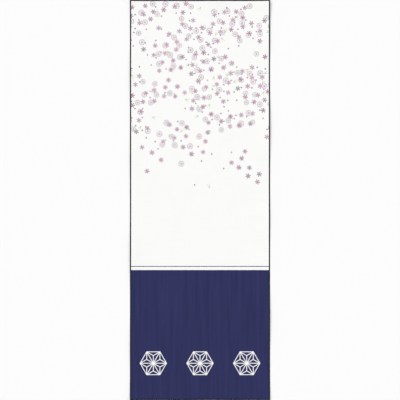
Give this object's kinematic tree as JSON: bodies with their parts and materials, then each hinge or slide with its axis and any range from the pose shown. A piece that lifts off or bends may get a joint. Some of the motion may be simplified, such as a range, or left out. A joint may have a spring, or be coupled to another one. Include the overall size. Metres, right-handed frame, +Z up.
{
  "type": "tenugui towel",
  "caption": "Long flat cotton hand towel of thin plain-woven cloth, unfolded and lying face up on a surface.",
  "frame": {"origin": "middle of the cloth's underside, where it lies on the surface", "axes": "+Y along the towel's length, towards the end that is uppermost when its pattern is upright; +X across its width, to the right; +Z up, out of its printed face"},
  "size_m": [0.35, 1, 0.0058],
  "materials": {
    "dyed_cotton": "matt plain-woven cotton, white with dyed areas"
  },
  "bodies": {
    "root": {"towel_cloth": "dyed_cotton"}
  },
  "joints": []
}
